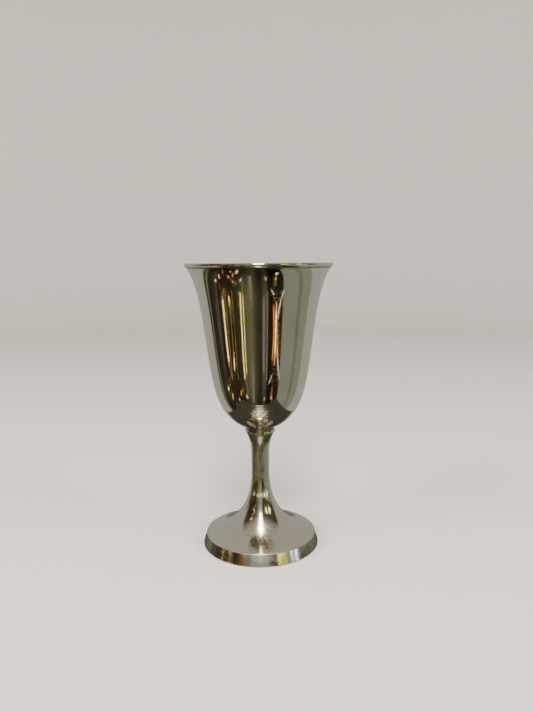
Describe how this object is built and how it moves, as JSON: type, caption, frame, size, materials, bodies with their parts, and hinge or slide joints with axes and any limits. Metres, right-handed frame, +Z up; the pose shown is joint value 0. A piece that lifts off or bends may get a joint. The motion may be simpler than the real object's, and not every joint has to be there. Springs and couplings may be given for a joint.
{
  "type": "communion chalice",
  "caption": "Silver-plated goblet-shaped chalice: flared bell bowl, beaded collar, slim trumpet stem and round foot with a bevelled edge.",
  "frame": {"origin": "centre of the flat underside of the foot's base moulding", "axes": "+Z up along the turning axis, from the foot to the mouth; X and Y are free, because the chalice is round"},
  "size_m": [0.0902, 0.0902, 0.178],
  "materials": {
    "bright_silver_plate": "silver plate, mirror polished, with fine hairline scratches",
    "worn_silver_plate": "silver plate, worn to a soft haze, with fine turning lines",
    "brass": "plain turned brass",
    "zinc_plated_steel": "bright zinc plate"
  },
  "bodies": {
    "root": {"bowl": "bright_silver_plate", "rim_wire": "bright_silver_plate", "bowl_boss": "brass", "collar": "bright_silver_plate", "stem_foot": "worn_silver_plate", "foot_rim": "worn_silver_plate", "tie_rod": "zinc_plated_steel", "cup_washer": "zinc_plated_steel", "lock_washer": "zinc_plated_steel", "nut": "zinc_plated_steel"}
  },
  "joints": []
}
